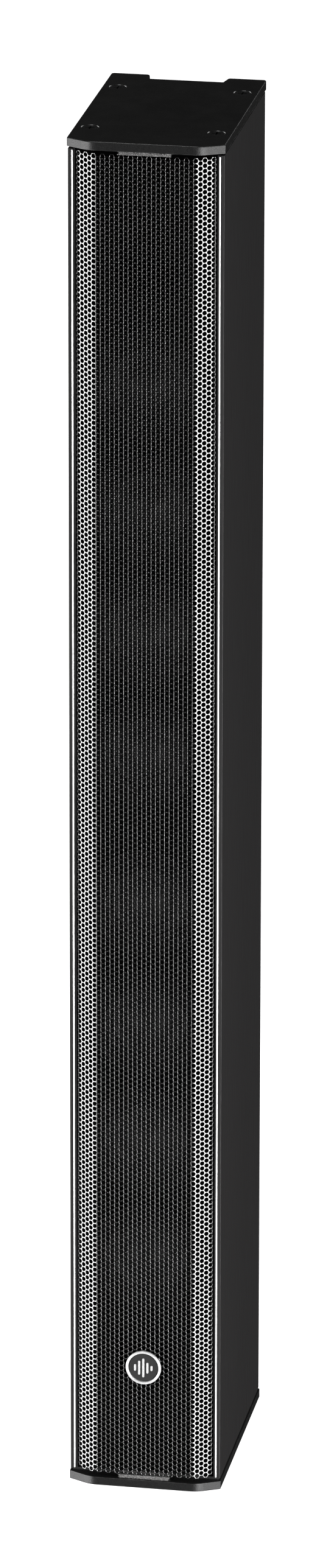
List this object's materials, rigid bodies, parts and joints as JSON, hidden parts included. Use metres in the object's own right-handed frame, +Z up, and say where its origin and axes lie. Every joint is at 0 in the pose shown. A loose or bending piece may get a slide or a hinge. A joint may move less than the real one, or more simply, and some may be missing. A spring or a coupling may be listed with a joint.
{
  "type": "column loudspeaker",
  "caption": "Slim black column loudspeaker: extruded cabinet, full-range drivers in a line behind a folded perforated grille, flat end caps, and a rear channel with sockets and bracket inserts.",
  "frame": {"origin": "middle of the footprint, on the underside of the bottom cap", "axes": "+Z up the column; the grille faces -Y; +X to the right seen from the front"},
  "size_m": [0.07, 0.114, 0.636],
  "materials": {
    "cabinet_black": "matte black anodised extrusion, fine die lines along its length",
    "cap_black": "black powder coat with a fine grain",
    "gasket_rubber": "black sheet rubber",
    "screw_black": "black-oxide screw",
    "baffle_black": "moulded black plastic",
    "duct_black": "moulded black plastic",
    "grille_black": "black powder-coated perforated steel",
    "felt_grey": "grey wool felt",
    "frame_steel": "black-coated pressed steel",
    "cone_paper": "coated black paper",
    "motor_zinc": "zinc-plated steel",
    "surround_rubber": "soft black rubber",
    "spider_cloth": "amber resin-dipped cloth",
    "terminal_tin": "tinned brass tags on fibre",
    "badge_silver": "bright turned ring",
    "badge_disc": "dark grey satin disc",
    "badge_emblem": "bright raised bars",
    "screw_zinc": "zinc-plated screw",
    "insert_steel": "zinc-plated threaded insert",
    "socket_plastic": "black glass-filled plastic",
    "board_green": "glass-epoxy board",
    "coil_copper": "enamelled copper winding",
    "capacitor_film": "film capacitor sleeve",
    "foam_grey": "open-cell damping foam",
    "wire_sleeve": "plastic wire insulation"
  },
  "bodies": {
    "cabinet": {"cabinet_shell": "cabinet_black", "top_cap": "cap_black", "bottom_cap": "cap_black", "top_gasket": "gasket_rubber", "bottom_gasket": "gasket_rubber", "top_cap_screws": "screw_black", "bottom_cap_screws": "screw_black", "connector_plate_screws": "screw_black", "driver_screws": "screw_black", "front_baffle": "baffle_black", "centre_brace": "baffle_black", "port_duct_upper": "duct_black", "port_duct_lower": "duct_black", "grille": "grille_black", "grille_felt_top": "felt_grey", "grille_felt_bottom": "felt_grey", "driver_frame_1": "frame_steel", "driver_frame_2": "frame_steel", "driver_frame_3": "frame_steel", "driver_frame_4": "frame_steel", "driver_frame_5": "frame_steel", "driver_frame_6": "frame_steel", "driver_frame_7": "frame_steel", "driver_frame_8": "frame_steel", "motor_1": "motor_zinc", "motor_2": "motor_zinc", "motor_3": "motor_zinc", "motor_4": "motor_zinc", "motor_5": "motor_zinc", "motor_6": "motor_zinc", "motor_7": "motor_zinc", "motor_8": "motor_zinc", "surrounds": "surround_rubber", "spiders": "spider_cloth", "terminal_strips": "terminal_tin", "badge_bush": "gasket_rubber", "bracket_inserts": "insert_steel", "connector_plate": "cap_black", "socket_input": "socket_plastic", "socket_link": "socket_plastic", "network_board": "board_green", "network_coil": "coil_copper", "network_capacitors": "capacitor_film", "network_standoffs": "duct_black", "acoustic_foam": "foam_grey", "wiring_harness": "wire_sleeve"},
    "moving_cone_1": {"cone_1": "cone_paper"},
    "moving_cone_2": {"cone_2": "cone_paper"},
    "moving_cone_3": {"cone_3": "cone_paper"},
    "moving_cone_4": {"cone_4": "cone_paper"},
    "moving_cone_5": {"cone_5": "cone_paper"},
    "moving_cone_6": {"cone_6": "cone_paper"},
    "moving_cone_7": {"cone_7": "cone_paper"},
    "moving_cone_8": {"cone_8": "cone_paper"},
    "badge": {"badge_rim": "badge_silver", "badge_disc": "badge_disc", "badge_emblem": "badge_emblem", "badge_pin": "screw_zinc", "badge_push_nut": "screw_zinc"}
  },
  "joints": [
    {"name": "cone_travel_1", "type": "slide", "parent": "cabinet", "child": "moving_cone_1", "axis": [0, -1, 0], "range_m": [-0.0015, 0.0015], "stiffness_N_per_m": 900, "deforming": ["surrounds", "spiders"]},
    {"name": "cone_travel_2", "type": "slide", "parent": "cabinet", "child": "moving_cone_2", "axis": [0, -1, 0], "range_m": [-0.0015, 0.0015], "stiffness_N_per_m": 900, "deforming": ["surrounds", "spiders"]},
    {"name": "cone_travel_3", "type": "slide", "parent": "cabinet", "child": "moving_cone_3", "axis": [0, -1, 0], "range_m": [-0.0015, 0.0015], "stiffness_N_per_m": 900, "deforming": ["surrounds", "spiders"]},
    {"name": "cone_travel_4", "type": "slide", "parent": "cabinet", "child": "moving_cone_4", "axis": [0, -1, 0], "range_m": [-0.0015, 0.0015], "stiffness_N_per_m": 900, "deforming": ["surrounds", "spiders"]},
    {"name": "cone_travel_5", "type": "slide", "parent": "cabinet", "child": "moving_cone_5", "axis": [0, -1, 0], "range_m": [-0.0015, 0.0015], "stiffness_N_per_m": 900, "deforming": ["surrounds", "spiders"]},
    {"name": "cone_travel_6", "type": "slide", "parent": "cabinet", "child": "moving_cone_6", "axis": [0, -1, 0], "range_m": [-0.0015, 0.0015], "stiffness_N_per_m": 900, "deforming": ["surrounds", "spiders"]},
    {"name": "cone_travel_7", "type": "slide", "parent": "cabinet", "child": "moving_cone_7", "axis": [0, -1, 0], "range_m": [-0.0015, 0.0015], "stiffness_N_per_m": 900, "deforming": ["surrounds", "spiders"]},
    {"name": "cone_travel_8", "type": "slide", "parent": "cabinet", "child": "moving_cone_8", "axis": [0, -1, 0], "range_m": [-0.0015, 0.0015], "stiffness_N_per_m": 900, "deforming": ["surrounds", "spiders"]},
    {"name": "badge_swivel", "type": "hinge", "parent": "cabinet", "child": "badge", "pos_m": [0, -0.0557, 0.0596], "axis": [0, -1, 0], "continuous": true}
  ]
}
